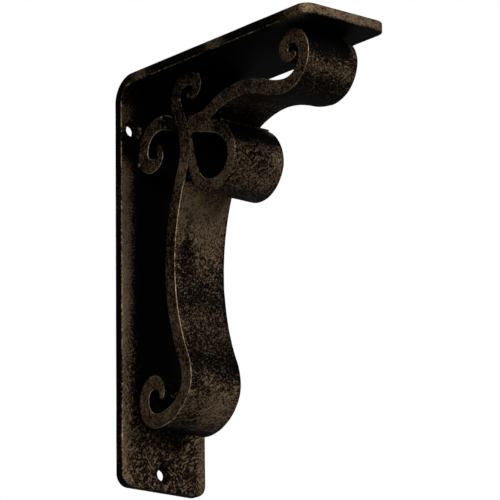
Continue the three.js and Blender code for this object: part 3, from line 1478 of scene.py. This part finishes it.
@dataclass
class Spatter:
    """Drops of weld and burrs that were left on the scrolls.

    Each drop is (x, out, up, radius) in millimetres from the middle of the wall plate's back face.
    """

    finish: bpy.types.Material
    work: DentsAndMarks
    drops: tuple[tuple[float, float, float, float], ...] = (
        (-15.0, 23.6, 77.6, 0.9),
        (-15.0, 25.7, 75.6, 0.6),
        (-15.0, 26.6, 72.3, 0.7),
        (-14.8, 5.6, 58.3, 1.1),
        (-14.8, 6.6, 63.0, 0.8),
        (-15.0, 6.6, -59.6, 1.0),
        (-15.0, 6.7, -63.4, 0.9),
        (18.8, 122.7, 96.3, 0.6),
        (-12.6, 45.6, 96.2, 0.6),
        (2.0, 5.3, -62.0, 0.5),
    )
    flatness: float = 0.6

    @staticmethod
    def _marks_of(places: np.ndarray, normals: np.ndarray) -> Marks:
        """A drop stands proud, so it is rubbed bright."""
        return {"wear": 0.3, "rub": 0.75, "brushed": 0.0}

    def build(self) -> bpy.types.Object:
        """Drops each blob of weld and joins them.

        Returns:
            The spatter, as one piece.
        """
        made = []
        for x, out, up, radius in self.drops:
            deselect_all()
            bpy.ops.mesh.primitive_ico_sphere_add(
                subdivisions=3, radius=radius * MM, location=(x * MM, -out * MM, up * MM)
            )
            drop = bpy.context.object
            drop.scale.x = self.flatness
            apply_place(drop)
            made.append(drop)
        activate(made[0])
        for drop in made:
            drop.select_set(True)
        bpy.ops.object.join()
        piece = name_active("weld_spatter")
        self.work.dress(piece, self._marks_of, self.finish)
        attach(piece, "root")
        return piece


@dataclass
class Welds:
    """The beads that hold the scrolls to the plates, one on each side of each contact."""

    plates: Plates
    scrolls: Scrollwork
    finish: bpy.types.Material
    work: DentsAndMarks
    offset: float = 4.4 * MM

    def build(self) -> list[bpy.types.Object]:
        """Lays the eight beads.

        Returns:
            The beads.
        """
        plates = self.plates
        wall_y = -(plates.thickness + SEAT)
        shelf_z = plates.top - plates.thickness - SEAT
        runs = []
        for where, scroll in (("foot", self.scrolls.leg), ("rear", self.scrolls.rear)):
            touch = max(scroll.placed(plates), key=lambda p: p.y)
            for side, sign in (("lower", -1), ("upper", 1)):
                centre = Vector((0, wall_y, touch.z + sign * self.offset))
                runs.append(WeldRun(f"bead_{where}_{side}", centre))
        for where, scroll in (
            ("head", self.scrolls.leg),
            ("front", self.scrolls.front),
        ):
            touch = max(scroll.placed(plates), key=lambda p: p.z)
            for side, sign in (("back", -1), ("front", 1)):
                centre = Vector((0, touch.y - sign * self.offset, shelf_z))
                runs.append(WeldRun(f"bead_{where}_{side}", centre))
        pieces = [run.build(self.finish, self.work) for run in runs]
        log.info("%d weld beads", len(pieces))
        return pieces


# The studio


@dataclass
class Studio:
    """The camera at the photograph's viewing angle, soft lamps, a pale floor and white round it."""

    azimuth: float = -39.5323
    elevation: float = -16.0315
    roll: float = -0.7144
    distance: float = 1.8571
    focal_pixels: float = 3943.2
    principal: tuple[float, float] = (249.745, 256.084)
    image: float = 500.0
    sensor: float = 36.0
    floor_level: float = -1.2
    fill: float = 0.06
    lit_middle: Triple = (0.0, -0.06, 0.0)

    def camera(self, target: Vector) -> bpy.types.Object:
        """Makes the camera that looks at a target from below and to its left.

        Args:
            target: The point at the middle of the view.

        Returns:
            The camera.
        """
        a, e, r = (math.radians(v) for v in (self.azimuth, self.elevation, self.roll))
        back = Vector((math.sin(a) * math.cos(e), -math.cos(a) * math.cos(e), math.sin(e)))
        right = Vector((math.cos(a), math.sin(a), 0))
        up = back.cross(right)
        rolled_right = right * math.cos(r) + up * math.sin(r)
        rolled_up = -right * math.sin(r) + up * math.cos(r)
        deselect_all()
        bpy.ops.object.camera_add(location=target + back * self.distance)
        camera = bpy.context.object
        camera.name = "view"
        turn = Matrix((rolled_right, rolled_up, back)).transposed()
        camera.rotation_euler = turn.to_euler()
        lens = camera.data
        lens.sensor_width = self.sensor
        lens.lens = self.focal_pixels / self.image * self.sensor
        lens.shift_x = (self.image / 2 - self.principal[0]) / self.image
        lens.shift_y = (self.principal[1] - self.image / 2) / self.image
        lens.clip_start, lens.clip_end = 0.05, 50.0
        bpy.context.scene.camera = camera
        return camera

    def lamp(
        self, name: str, place: Triple, size: float, power: float
    ) -> bpy.types.Object:
        """Hangs a soft square lamp that faces the bracket.

        Args:
            name: Its name.
            place: Where it hangs.
            size: Its side.
            power: Its power in watts.

        Returns:
            The lamp.
        """
        deselect_all()
        bpy.ops.object.light_add(type="AREA", location=place)
        lamp = bpy.context.object
        lamp.name = name
        lamp.data.size = size
        lamp.data.energy = power
        aim = Vector(self.lit_middle) - Vector(place)
        lamp.rotation_euler = aim.to_track_quat("-Z", "Y").to_euler()
        return lamp

    def white_round(self) -> None:
        """White behind the bracket for the camera, and a dim even light on the bracket."""
        world = bpy.data.worlds.new("white_room")
        bpy.context.scene.world = world
        sheet = NodeSheet.of(world)
        fill, seen = (
            sheet.node("ShaderNodeBackground", Color=(1, 1, 1, 1), Strength=strength)
            for strength in (self.fill, 1.0)
        )
        path = sheet.node("ShaderNodeLightPath")
        mix = sheet.node("ShaderNodeMixShader")
        sheet.put(mix.inputs[0], path.outputs["Is Camera Ray"])
        sheet.put(mix.inputs[1], fill.outputs[0])
        sheet.put(mix.inputs[2], seen.outputs[0])
        sheet.node("ShaderNodeOutputWorld", Surface=mix.outputs[0])

    def floor(self) -> bpy.types.Object:
        """A pale floor, far below the bracket and the camera."""
        deselect_all()
        bpy.ops.mesh.primitive_grid_add(
            x_subdivisions=8, y_subdivisions=8, size=14.0, location=(0, 0, self.floor_level)
        )
        floor = name_active("studio_floor")
        apply_place(floor)
        floor.data.materials.append(StudioSurface("pale_floor").material())
        return floor

    def build(self, target: Vector) -> None:
        """Sets up the whole studio."""
        self.camera(target)
        self.white_round()
        self.floor()
        self.lamp("key_lamp", place=(-1.65, -1.35, 0.6), size=1.0, power=30.0)
        self.lamp("front_lamp", place=(0.5, -2.1, 0.9), size=1.2, power=22.0)
        bpy.context.scene.view_settings.view_transform = "Standard"
        log.info("studio ready")


# Making


def main() -> None:
    """Builds the bracket and its studio."""
    logging.basicConfig(level=logging.INFO, format="%(name)s: %(message)s")
    Studio().build(VIEW_MIDDLE)
    paint = AgedBronzePaint("aged_bronze_paint").material()
    weld_paint = AgedBronzePaint("aged_bronze_on_weld", relief=1.4).material()
    bar = FlatBar()
    plates = Plates(thickness=5.2 * MM, bar=bar)
    scrolls = Scrollwork(plates, paint, DentsAndMarks())
    scrolls.build()
    plate_work = DentsAndMarks(grain=0.0, dent=0.12 * MM, dent_size=14 * MM, level=1.0)
    Strap(plates, paint, plate_work).build()
    bead_work = DentsAndMarks(dent=0.35 * MM, dent_size=2.6 * MM, level=1.0)
    Welds(plates, scrolls, weld_paint, bead_work).build()
    ForgedJoint(paint, DentsAndMarks(dent=0.1 * MM)).build()
    Spatter(weld_paint, DentsAndMarks(dent=0.2 * MM, dent_size=1.2 * MM, grain=0.0)).build()
    log.info("built")


if __name__ == "__main__":
    main()
